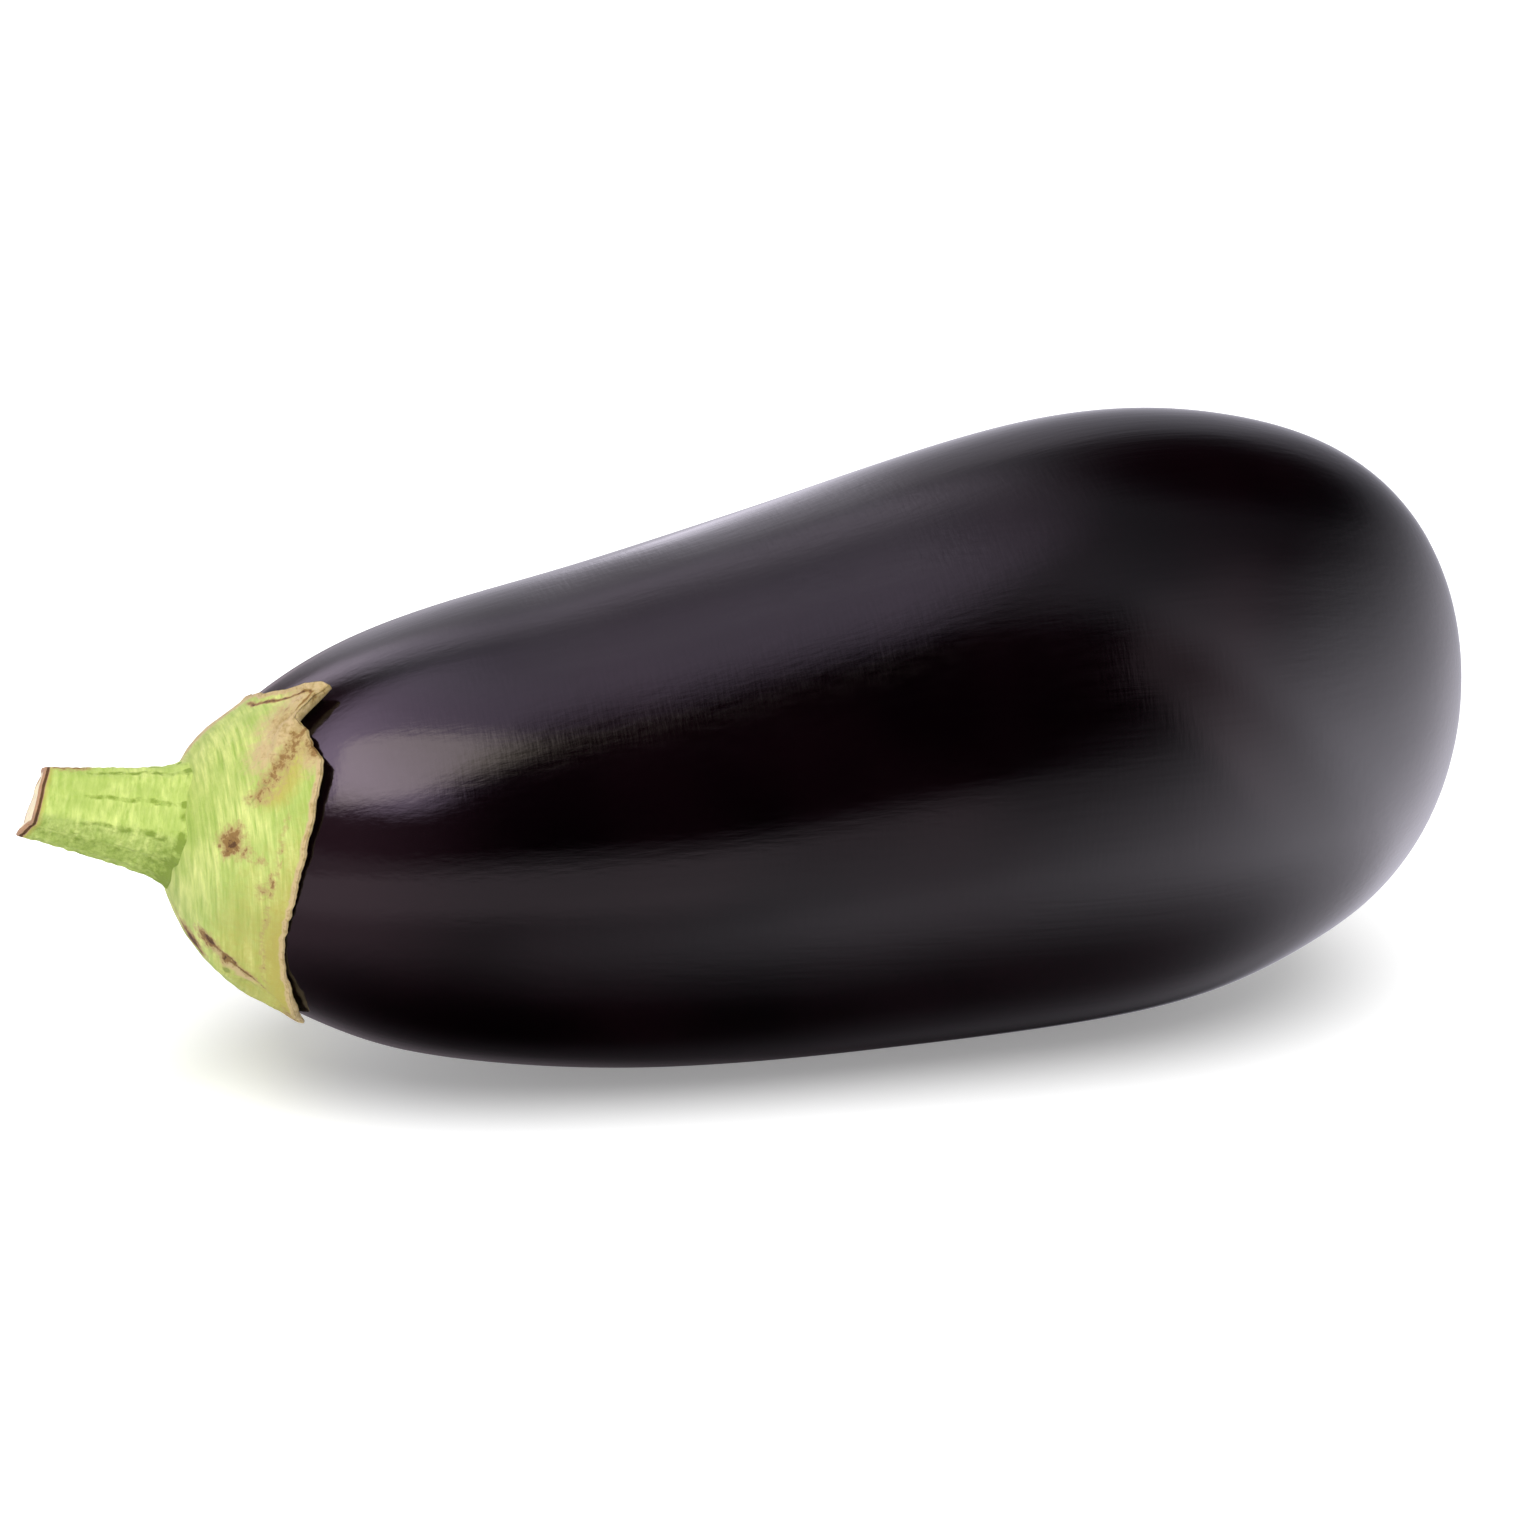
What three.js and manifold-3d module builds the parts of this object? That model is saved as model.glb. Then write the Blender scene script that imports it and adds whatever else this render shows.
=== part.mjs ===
// An eggplant lying on its side: the pear-shaped fruit, the cap of sepals grown over its shoulder
// and the cut stalk that stands in the cap. The fruit and the cap are rings set square to a gently
// bent axis line, so one function places every point of both.
// Millimetres, +Z up, +X from the stalk to the blossom end, origin at the bottom centre of the whole.
import * as THREE from "three";
import { NURBSCurve } from "three/addons/curves/NURBSCurve.js";
import { mergeVertices } from "three/addons/utils/BufferGeometryUtils.js";
import Module from "manifold-3d";

const wasm = await Module();
wasm.setup();

const { clamp, euclideanModulo, lerp, smoothstep, DEG2RAD } = THREE.MathUtils;
const MERGE_DISTANCE = 1e-4;

// Fruit: control points of its outline as (station along the axis, radius), and control heights of
// the axis line, evenly spaced over its length.
const FRUIT_LENGTH = 213;
const FRUIT_OUTLINE = [
  [0, 0], [0, 13.5], [19, 28.5], [40, 36.2], [75, 42],
  [110, 46], [145, 50.5], [180, 49], [213, 31], [213, 0],
];
const AXIS_HEIGHTS = [39.5, 42.5, 39.5, 50.5, 56.5, 55];
const FRUIT_RINGS = 50;
const FRUIT_SIDES = 44;
const FLAT_DEPTH = 0.5; // how far the lying fruit is flattened where it rests
const SCAR_RADIUS = 5; // dimple of the blossom scar
const SCAR_DEPTH = 1.4;

// Calyx: each lobe points along the fruit at an angle round its axis, where 90 is the top and 180
// the near side. It reaches past the line of the sinuses and narrows over the degrees before and
// after its tip, which lifts off the skin.
const SINUS_STATION = 14.5; // of the line between the lobes, on average
const SINUS_SLANT = 1.5; // the cap sits askew and reaches furthest at the slant's angle
const SINUS_SLANT_ANGLE = 60;
const LOBES = [
  { angle: 20, reach: 8.5, before: 48, after: 46, lift: 1 },
  { angle: 109, reach: 10.5, before: 26, after: 18, lift: 1.2 },
  { angle: 133, reach: 8, before: 60, after: 60, lift: 1.6 },
  { angle: 244, reach: 4.2, before: 40, after: 34, lift: 0.8 },
  { angle: 310, reach: 8, before: 40, after: 46, lift: 1 },
];
const LOBE_POWER = 1.2; // above 1 gives hollow flanks and a sharp tip
const CALYX_THICKNESS = 1.5;
const CALYX_EDGE = 1.1; // thickness at the rim
const PIECE_GAP = 0.3; // between pieces that touch
const LIFT_START = 0.6; // share of the way to the rim where a lobe begins to lift
const CALYX_RINGS = 14;
const CALYX_SIDES = 90;

// Fold: the upper sepal laps over the front one along a line of (degrees, station).
const FOLD_FROM = [117, 21.5];
const FOLD_TO = [139, 11.5];
const FOLD_MM_PER_DEGREE = 0.5;
const FOLD_STEP = 0.8;
const FOLD_EDGE = 1.2; // width of the step
const FOLD_WIDTH = 7; // how far the lapping sepal stays raised behind the step

// Stalk: station and height of its root's centre, tilt above the horizontal and size.
const STALK_ROOT = [4.8, 47.2];
const STALK_TILT = 15;
const STALK_LENGTH = 26.5;
const STALK_ROOT_RADIUS = 9.4;
const STALK_CUT_RADIUS = 5.4;
const STALK_SUNK = 12; // drawn this deep before its base is fitted to the cap's dome
const STALK_FLARE = 1.2; // extra radius where it meets the cap
const STALK_FLARE_LENGTH = 2;
const STALK_RIBS = 5;
const STALK_RIB_HEIGHT = 0.45;
const CUT_SLOPE = 0.2; // the cut is oblique: longer on the lower edge
const CUT_TURN = 0.3; // and on the near edge
const CUT_HOLLOW = 0.6;
const STALK_RINGS = 10;
const STALK_SIDES = 30;

// A clamped cubic B-spline of (a, b) pairs.
function spline(pairs) {
  const spans = pairs.length - 3;
  const inner = Array.from({ length: spans + 1 }, (_, i) => i / spans);
  const points = pairs.map(([a, b]) => new THREE.Vector4(a, b, 0, 1));
  return new NURBSCurve(3, [0, 0, 0, ...inner, 1, 1, 1], points);
}

const outline = spline(FRUIT_OUTLINE);
const axisLine = spline(AXIS_HEIGHTS.map((height) => [0, height]));

// Height of the axis line at a station of the fruit.
function axisHeight(station) {
  return axisLine.getPoint(clamp(station / FRUIT_LENGTH, 0, 1)).y;
}

// The point at a station, a distance from the axis line and an angle round it.
function place(station, radius, angle) {
  const from = clamp(station - 0.5, 0, FRUIT_LENGTH - 1);
  const slope = Math.atan(axisHeight(from + 1) - axisHeight(from));
  const up = radius * Math.sin(angle);
  return new THREE.Vector3(
    station - up * Math.sin(slope),
    radius * Math.cos(angle),
    axisHeight(station) + up * Math.cos(slope),
  );
}

// A copy with one vertex for each place, and positions only.
function welded(geometry) {
  geometry.deleteAttribute("normal");
  geometry.deleteAttribute("uv");
  return mergeVertices(geometry, MERGE_DISTANCE);
}

// A lathe turned from some (radius, height) points, each vertex then moved by a rule of its radius,
// height and angle.
function turned(points, sides, rule) {
  const lathe = new THREE.LatheGeometry(points.map(([x, y]) => new THREE.Vector2(x, y)), sides);
  const position = lathe.getAttribute("position");
  for (let i = 0; i < position.count; i += 1) {
    const [x, z] = [position.getX(i), position.getZ(i)];
    const point = rule(Math.hypot(x, z), position.getY(i), Math.atan2(x, z));
    position.setXYZ(i, point.x, point.y, point.z);
  }
  return welded(lathe);
}

// A welded geometry as a solid.
function solid(geometry) {
  return new wasm.Manifold(new wasm.Mesh({
    numProp: 3,
    vertProperties: geometry.getAttribute("position").array,
    triVerts: new Uint32Array(geometry.index.array),
  }));
}

// One welded geometry less some others.
function cut(geometry, ...tools) {
  const { vertProperties, triVerts } = tools
    .reduce((rest, tool) => rest.subtract(solid(tool)), solid(geometry))
    .getMesh();
  const result = new THREE.BufferGeometry();
  result.setAttribute("position", new THREE.BufferAttribute(vertProperties, 3));
  return result.setIndex(new THREE.BufferAttribute(triVerts, 1));
}

// The fruit turned from its outline, with the dimple at its blossom end.
function roundFruit() {
  const rings = outline.getSpacedPoints(FRUIT_RINGS).map(({ x, y }) => [y, x]);
  rings.splice(-1, 0, [SCAR_RADIUS, FRUIT_LENGTH], [SCAR_RADIUS / 2, FRUIT_LENGTH]);
  return turned(rings, FRUIT_SIDES, (radius, station, angle) => {
    const depth = SCAR_DEPTH * Math.exp(-((radius / SCAR_RADIUS) ** 2));
    return place(station > FRUIT_LENGTH / 2 ? station - depth : station, radius, angle);
  });
}

// The fruit with the small flat spot that it lies on.
function fruitGeometry() {
  const fruit = roundFruit();
  fruit.computeBoundingBox();
  const bottom = fruit.boundingBox.min.z + FLAT_DEPTH;
  const size = 2 * FRUIT_LENGTH;
  const below = new THREE.BoxGeometry(size, size, size);
  below.translate(FRUIT_LENGTH / 2, 0, bottom - size / 2);
  return cut(fruit, welded(below));
}

// What is left of a lobe at some degrees round the cap, from 1 at its tip to 0 past its flanks.
function lobeShare(lobe, degrees) {
  const off = euclideanModulo(degrees - lobe.angle + 180, 360) - 180;
  const width = off < 0 ? lobe.before : lobe.after;
  return Math.max(1 - Math.abs(off) / width, 0) ** LOBE_POWER;
}

// Station of the cap's rim at some degrees round it.
function rimStation(degrees) {
  const sinus = SINUS_STATION + SINUS_SLANT * Math.cos((degrees - SINUS_SLANT_ANGLE) * DEG2RAD);
  return sinus + Math.max(...LOBES.map((lobe) => lobe.reach * lobeShare(lobe, degrees)));
}

// How far the rim stands off the skin at some degrees round the cap.
function rimLift(degrees) {
  return Math.max(...LOBES.map((lobe) => lobe.lift * lobeShare(lobe, degrees)));
}

// The parameter at which the outline passes a station, found by halving.
function outlineParameter(station) {
  let low = 0;
  let high = 1;
  while (high - low > 1e-6) {
    const middle = (low + high) / 2;
    if (outline.getPoint(middle).x < station) {
      low = middle;
    } else {
      high = middle;
    }
  }
  return low;
}

// Extra height of the upper sepal where it laps over the front one.
function foldHeight(degrees, station) {
  const flat = ([a, s]) => new THREE.Vector2(a * FOLD_MM_PER_DEGREE, s);
  const line = flat(FOLD_TO).sub(flat(FOLD_FROM));
  const here = flat([degrees, station]).sub(flat(FOLD_FROM));
  const behind = here.cross(line) / line.length();
  const step = smoothstep(behind, -FOLD_EDGE / 2, FOLD_EDGE / 2);
  const back = 1 - smoothstep(behind, FOLD_EDGE, FOLD_WIDTH);
  const end = 1 - smoothstep(here.dot(line) / line.lengthSq(), 0.5, 1);
  return FOLD_STEP * step * back * end;
}

// The cap: a disc with an outer and an inner sheet, laid over the fruit's shoulder out to its rim.
// Swollen, it grows outward by that much and inward past the skin, to cut its neighbours clear.
function calyxGeometry(swollen = 0) {
  const shares = Array.from({ length: CALYX_RINGS + 1 }, (_, i) => i / CALYX_RINGS);
  const outer = shares.map((share) => [share, 0]);
  const inner = shares.map((share) => [share, 1]).reverse();
  return turned([...outer, ...inner], CALYX_SIDES, (share, sheet, angle) => {
    const degrees = angle / DEG2RAD;
    const parameter = share * outlineParameter(rimStation(degrees));
    const skin = outline.getPoint(parameter);
    const along = outline.getTangent(parameter);
    const rise = smoothstep(share, LIFT_START, 1);
    const bottom = PIECE_GAP + rimLift(degrees) * rise ** 2;
    const thickness = lerp(CALYX_THICKNESS, CALYX_EDGE, rise) + foldHeight(degrees, skin.x);
    const lift = sheet < 0.5 ? bottom + thickness + swollen : bottom - 2 * swollen;
    return place(skin.x - along.y * lift, skin.y + along.x * lift, angle);
  });
}

// Radius of the stalk at a height above its root and an angle round it.
function stalkRadius(height, angle) {
  const taper = lerp(STALK_ROOT_RADIUS, STALK_CUT_RADIUS, clamp(height / STALK_LENGTH, 0, 1));
  const flare = STALK_FLARE * Math.exp(-Math.max(height, 0) / STALK_FLARE_LENGTH);
  return taper + flare + STALK_RIB_HEIGHT * Math.cos(STALK_RIBS * angle);
}

// The stalk, cut off obliquely at its free end and fitted to the cap's dome at its base.
function stalkGeometry() {
  const tilt = STALK_TILT * DEG2RAD;
  const root = new THREE.Vector3(STALK_ROOT[0], 0, STALK_ROOT[1]);
  const upward = new THREE.Vector3(Math.sin(tilt), 0, Math.cos(tilt));
  const outward = new THREE.Vector3(-Math.cos(tilt), 0, Math.sin(tilt));
  const near = new THREE.Vector3(0, -1, 0);
  const rings = Array.from({ length: STALK_RINGS + 1 }, (_, i) => [1, (i / STALK_RINGS) * STALK_LENGTH]);
  const points = [[0, -STALK_SUNK], [1, -STALK_SUNK], ...rings, [0.6, STALK_LENGTH], [0, STALK_LENGTH]];
  const stalk = turned(points, STALK_SIDES, (share, height, angle) => {
    const radius = share * stalkRadius(height, angle);
    const up = radius * Math.sin(angle);
    const side = radius * Math.cos(angle);
    const end = Math.max(height / STALK_LENGTH, 0) ** 2;
    const hollow = height === STALK_LENGTH ? CUT_HOLLOW * (1 - share) : 0;
    const reach = height - hollow + end * (CUT_TURN * side - CUT_SLOPE * up);
    const point = root.clone().addScaledVector(outward, reach);
    return point.addScaledVector(upward, up).addScaledVector(near, side);
  });
  return cut(stalk, calyxGeometry(PIECE_GAP), roundFruit());
}

// A named piece with its own material.
function piece(name, geometry, color, roughness) {
  const material = new THREE.MeshStandardMaterial({ color, roughness, metalness: 0 });
  const mesh = new THREE.Mesh(geometry, material);
  mesh.name = name;
  return mesh;
}

const eggplant = new THREE.Group();
eggplant.add(piece("fruit", fruitGeometry(), "#1f151d", 0.15));
eggplant.add(piece("calyx", calyxGeometry(), "#bfca7d", 0.6));
eggplant.add(piece("stalk", stalkGeometry(), "#b8ce70", 0.6));

// The group is moved so that its bottom centre is the origin.
const box = new THREE.Box3().setFromObject(eggplant);
const centre = box.getCenter(new THREE.Vector3());
eggplant.position.set(-centre.x, -centre.y, -box.min.z);

export default eggplant;
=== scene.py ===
"""An eggplant on a pale studio floor: the glossy fruit, its green cap of sepals and its cut stalk.

The fruit and the cap are rings set square to a gently bent axis line, so one form places every point
of both. Sizes are in metres, worked from the same driving dimensions as the solids.
"""

import logging
import math
from dataclasses import dataclass, field, replace
from enum import Enum
from functools import lru_cache
from typing import Callable, Sequence

import bmesh
import bpy
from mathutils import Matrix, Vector, noise
from mathutils.bvhtree import BVHTree

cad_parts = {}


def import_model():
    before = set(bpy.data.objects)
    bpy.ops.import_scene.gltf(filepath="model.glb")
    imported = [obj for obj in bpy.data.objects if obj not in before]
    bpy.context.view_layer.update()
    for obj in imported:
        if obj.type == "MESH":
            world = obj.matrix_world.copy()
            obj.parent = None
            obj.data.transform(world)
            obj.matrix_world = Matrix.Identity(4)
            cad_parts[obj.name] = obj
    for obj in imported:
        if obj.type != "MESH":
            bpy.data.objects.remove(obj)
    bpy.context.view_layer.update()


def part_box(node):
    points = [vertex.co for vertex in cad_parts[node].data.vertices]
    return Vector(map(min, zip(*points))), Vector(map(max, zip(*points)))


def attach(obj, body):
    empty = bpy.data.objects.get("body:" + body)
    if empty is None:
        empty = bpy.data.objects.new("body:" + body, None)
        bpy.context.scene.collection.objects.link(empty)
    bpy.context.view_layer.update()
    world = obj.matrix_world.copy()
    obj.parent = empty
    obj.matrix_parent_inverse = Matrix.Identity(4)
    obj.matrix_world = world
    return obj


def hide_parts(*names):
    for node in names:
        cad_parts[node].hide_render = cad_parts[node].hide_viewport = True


log = logging.getLogger("eggplant")

MM = 0.001
PHOTO_WIDTH = 1536  # in pixels, and as high


class Slot(Enum):
    """The record's material slots."""

    SKIN = "skin"
    SEPAL = "sepal"
    STEM = "stem"


class Mark(Enum):
    """Attributes that a mesh carries for its material: shares from 0 to 1."""

    RIM = "rim"
    DRY = "dry"
    SCAR = "scar"
    CUT = "cut"
    GROOVE_AND_SHADE = "groove_and_shade"
    PITH = "pith"


# The value of a mark at a vertex, from the three numbers that place it on its piece.
Rule = Callable[[float, float, float], float]


def smoothstep(value: float, low: float, high: float) -> float:
    """Ease a value from 0 at low to 1 at high."""
    share = min(max((value - low) / (high - low), 0.0), 1.0)
    return share * share * (3 - 2 * share)


def lerp(start: float, end: float, share: float) -> float:
    """Blend two values by a share from 0 to 1."""
    return start + (end - start) * share


def bell(distance: float, width: float) -> float:
    """A smooth bump: 1 at no distance, falling off over a width."""
    return math.exp(-((distance / width) ** 2))


def spline_point(controls: Sequence[Sequence[float]], parameter: float) -> tuple[float, ...]:
    """Evaluate a clamped cubic B-spline.

    Args:
        controls: Control points, each of the same number of coordinates.
        parameter: Place along the curve, from 0 to 1.

    Returns:
        The coordinates of the point.
    """
    degree = 3
    spans = len(controls) - degree
    place = min(max(parameter, 0.0), 1.0) * spans
    span = min(int(place), spans - 1)

    def knot(index: int) -> float:
        """The knot at an index, in spans."""
        return float(min(max(index - degree, 0), spans))

    points = [list(controls[span + i]) for i in range(degree + 1)]
    for level in range(1, degree + 1):
        for i in range(degree, level - 1, -1):
            low = knot(span + i)
            high = knot(span + i + degree + 1 - level)
            share = (place - low) / (high - low)
            points[i] = [lerp(a, b, share) for a, b in zip(points[i - 1], points[i])]
    return tuple(points[degree])


def ripple(point: Vector, size: float, stretch: Vector = Vector((1, 1, 1))) -> float:
    """Smooth noise from -1 to 1 at a point.

    Args:
        point: Where to read it, in metres.
        size: Size of its swells.
        stretch: How much longer the swells are along each axis.

    Returns:
        The noise.
    """
    scaled = Vector(point[i] / (size * stretch[i]) for i in range(3))
    return noise.noise(scaled, noise_basis="PERLIN_NEW")


@dataclass(frozen=True, eq=False)
class BodyForm:
    """The fruit's round form: an outline of (station, radius) and the heights of its axis line."""

    length: float = 213 * MM
    outline: tuple[tuple[float, float], ...] = (
        (0, 0), (0, 13.5), (19, 28.5), (40, 36.2), (75, 42),
        (110, 46), (145, 50.5), (180, 49), (213, 31), (213, 0),
    )
    heights: tuple[float, ...] = (39.5, 42.5, 39.5, 50.5, 56.5, 55)
    origin: Vector = field(default_factory=Vector)

    @lru_cache(maxsize=None)
    def skin(self, parameter: float) -> tuple[float, float]:
        """Station and radius of the outline at a parameter from 0 to 1."""
        station, radius = spline_point(self.outline, parameter)
        return station * MM, radius * MM

    @lru_cache(maxsize=None)
    def along(self, parameter: float) -> tuple[float, float]:
        """Find the outline's direction at a parameter.

        Args:
            parameter: Place along the outline, from 0 to 1.

        Returns:
            Its unit direction, as (station, radius).
        """
        step = 1e-4
        start = self.skin(max(parameter - step, 0.0))
        end = self.skin(min(parameter + step, 1.0))
        run, rise = end[0] - start[0], end[1] - start[1]
        size = math.hypot(run, rise)
        return run / size, rise / size

    @lru_cache(maxsize=None)
    def parameter(self, station: float) -> float:
        """Find the parameter at which the outline passes a station, by halving.

        Args:
            station: Distance along the fruit from its stalk end.

        Returns:
            The parameter, from 0 to 1.
        """
        low, high = 0.0, 1.0
        while high - low > 1e-6:
            middle = (low + high) / 2
            if self.skin(middle)[0] < station:
                low = middle
            else:
                high = middle
        return low

    @lru_cache(maxsize=None)
    def height(self, station: float) -> float:
        """Height of the axis line at a station."""
        controls = [(height * MM,) for height in self.heights]
        return spline_point(controls, station / self.length)[0]

    @lru_cache(maxsize=None)
    def slope(self, station: float) -> float:
        """Find the angle of the axis line above the horizontal.

        Args:
            station: Distance along the fruit from its stalk end.

        Returns:
            The angle in radians.
        """
        reach = MM
        start = min(max(station - reach / 2, 0.0), self.length - reach)
        return math.atan((self.height(start + reach) - self.height(start)) / reach)

    def place(self, station: float, radius: float, angle: float) -> Vector:
        """The point at a station, a distance from the axis line and an angle round it.

        Args:
            station: Distance along the fruit from its stalk end.
            radius: Distance from the axis line.
            angle: Turn round it in radians, from the far side over the top.

        Returns:
            The point in the model's frame.
        """
        slope = self.slope(station)
        up = radius * math.sin(angle)
        point = Vector((station - up * math.sin(slope), radius * math.cos(angle), self.height(station)))
        point.z += up * math.cos(slope)
        return point + self.origin

    def settled(self, box: tuple[Vector, Vector], flat_depth: float) -> "BodyForm":
        """The same form, moved to where its solid lies.

        Args:
            box: The solid's lowest and highest corners.
            flat_depth: How far the form is flattened where it rests.

        Returns:
            The moved form.
        """
        steps = 400
        rings = [self.skin(i / steps) for i in range(steps + 1)]
        end = max(self.place(*ring, math.pi / 2).x for ring in rings)
        low = min(self.place(*ring, -math.pi / 2).z for ring in rings)
        return replace(self, origin=Vector((box[1].x - end, 0, -low - flat_depth)))


def linear(code: str) -> tuple[float, float, float, float]:
    """Turn an sRGB hex colour into linear values for a shader.

    Args:
        code: The colour, written #rrggbb.

    Returns:
        Its linear red, green and blue, and an alpha of 1.
    """
    channels = (int(code[i:i + 2], 16) / 255 for i in (1, 3, 5))
    values = [c / 12.92 if c <= 0.04045 else ((c + 0.055) / 1.055) ** 2.4 for c in channels]
    return (*values, 1.0)


def add_node(
    tree: bpy.types.NodeTree,
    kind: str,
    settings: dict[str, object] | None = None,
    inputs: dict[str | int, object] | None = None,
) -> bpy.types.Node:
    """Add a node with its settings, values and links.

    Args:
        tree: The node tree.
        kind: The node's type name without its ShaderNode prefix.
        settings: Properties to set on it.
        inputs: Values or output sockets for its inputs, by name or number.

    Returns:
        The node.
    """
    node = tree.nodes.new("ShaderNode" + kind)
    for name, value in (settings or {}).items():
        setattr(node, name, value)
    for key, value in (inputs or {}).items():
        if isinstance(value, bpy.types.NodeSocket):
            tree.links.new(value, node.inputs[key])
        else:
            node.inputs[key].default_value = value
    return node


def new_material(name: str) -> tuple[bpy.types.Material, bpy.types.NodeTree]:
    """Make a material with an empty node tree.

    Args:
        name: The material's name.

    Returns:
        The material and its tree.
    """
    material = bpy.data.materials.new(name)
    material.use_nodes = True
    material.node_tree.nodes.clear()
    return material, material.node_tree


def new_piece(name: str, mesh_in: bmesh.types.BMesh, material: bpy.types.Material) -> bpy.types.Object:
    """Make a smooth-shaded object of a bmesh, at the origin.

    Args:
        name: The object's name.
        mesh_in: Its shape, freed here.
        material: Its finish.

    Returns:
        The object, linked to the scene.
    """
    bmesh.ops.recalc_face_normals(mesh_in, faces=mesh_in.faces)
    mesh = bpy.data.meshes.new(name)
    mesh_in.to_mesh(mesh)
    mesh_in.free()
    mesh.polygons.foreach_set("use_smooth", [True] * len(mesh.polygons))
    mesh.materials.append(material)
    piece = bpy.data.objects.new(name, mesh)
    bpy.context.scene.collection.objects.link(piece)
    return piece


def turned(
    points: Sequence[tuple[float, float]],
    sides: int,
    rule: Callable[[float, float, float], Vector],
    marks: dict[Mark, Rule],
) -> bmesh.types.BMesh:
    """Spin a line of points into a closed form, then move each vertex by a rule.

    Args:
        points: The line as (radius, height), starting and ending on the axis.
        sides: Steps round the full turn.
        rule: Gives a vertex's place from its radius, height and angle.
        marks: Gives the value of each mark from the same three.

    Returns:
        The shape.
    """
    shape = bmesh.new()
    line = [shape.verts.new((0, radius, height)) for radius, height in points]
    edges = [shape.edges.new(pair) for pair in zip(line, line[1:])]
    bmesh.ops.spin(
        shape, geom=line + edges, cent=(0, 0, 0), axis=(0, 0, 1), dvec=(0, 0, 0),
        angle=math.tau, steps=sides, use_merge=True, use_duplicate=False,
    )
    bmesh.ops.remove_doubles(shape, verts=shape.verts, dist=1e-7)
    layers = {mark: shape.verts.layers.float.new(mark.value) for mark in marks}
    for vertex in shape.verts:
        radius, angle = math.hypot(vertex.co.x, vertex.co.y), math.atan2(vertex.co.x, vertex.co.y)
        where = (radius, vertex.co.z, angle)
        for mark, layer in layers.items():
            vertex[layer] = marks[mark](*where)
        vertex.co = rule(*where)
    return shape


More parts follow.
